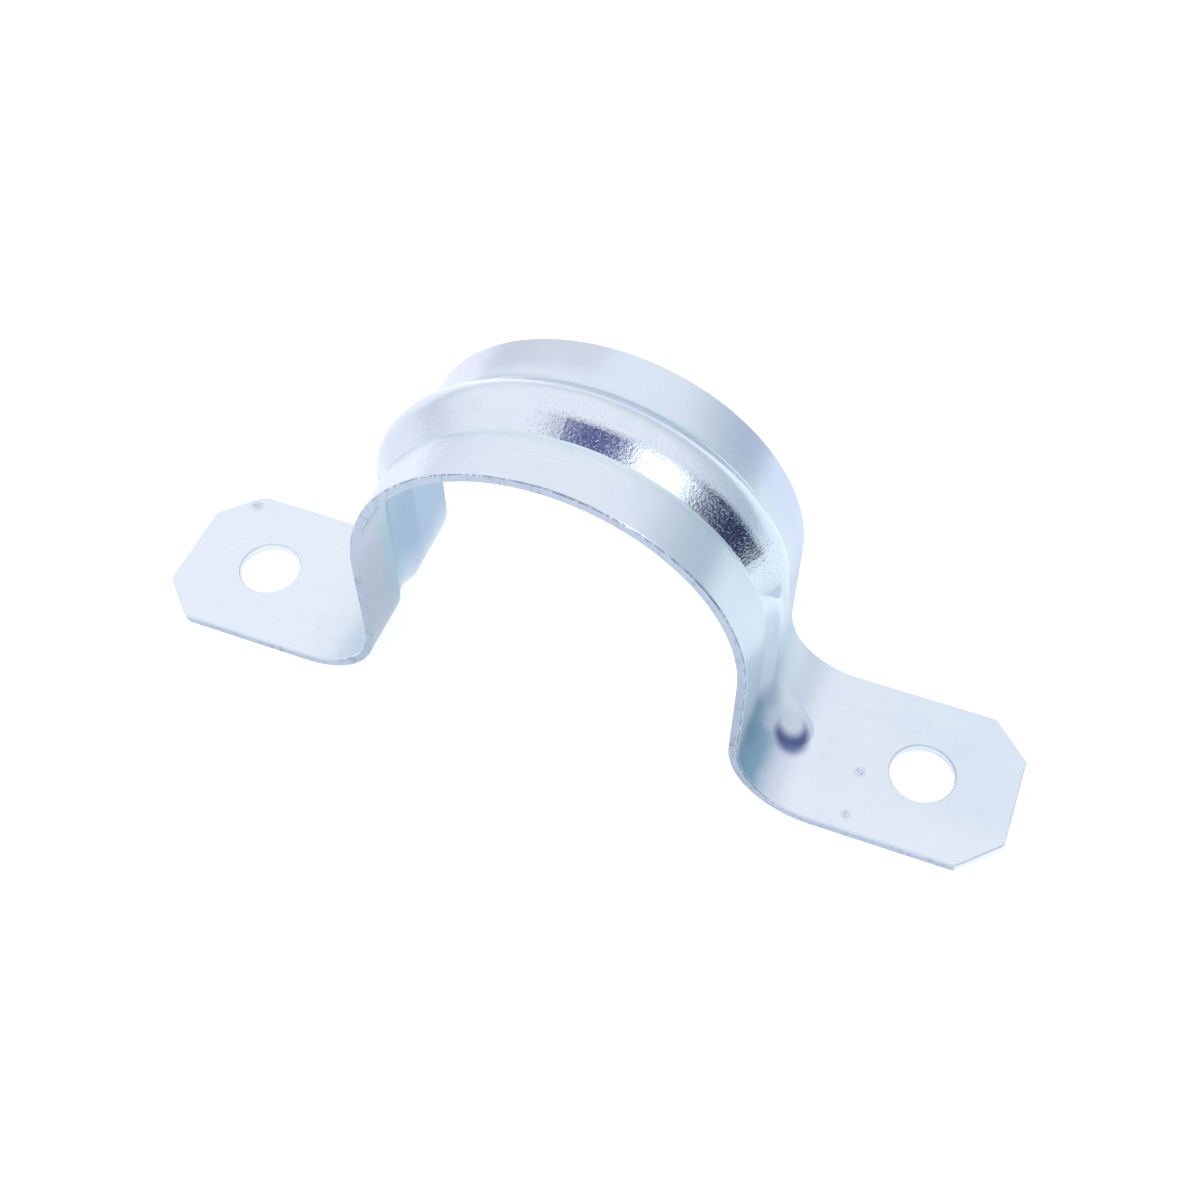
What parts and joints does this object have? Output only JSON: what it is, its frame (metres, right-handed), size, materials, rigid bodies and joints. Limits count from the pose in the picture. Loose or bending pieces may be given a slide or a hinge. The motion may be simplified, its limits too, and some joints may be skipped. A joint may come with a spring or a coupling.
{
  "type": "conduit strap",
  "caption": "Conduit strap pressed from steel strip, with a ribbed arch over the conduit, gusseted bends and flat feet with screw holes.",
  "frame": {"origin": "on the mounting plane under the crown of the arch, midway across the strip", "axes": "+X along the strap through both screw holes, +Y along the conduit, +Z away from the mounting surface"},
  "size_m": [0.0932, 0.0182, 0.0418],
  "materials": {
    "zinc_plated_steel": "bright zinc plate, pale blue, with faint drawing marks"
  },
  "bodies": {
    "root": {"strap": "zinc_plated_steel"}
  },
  "joints": []
}
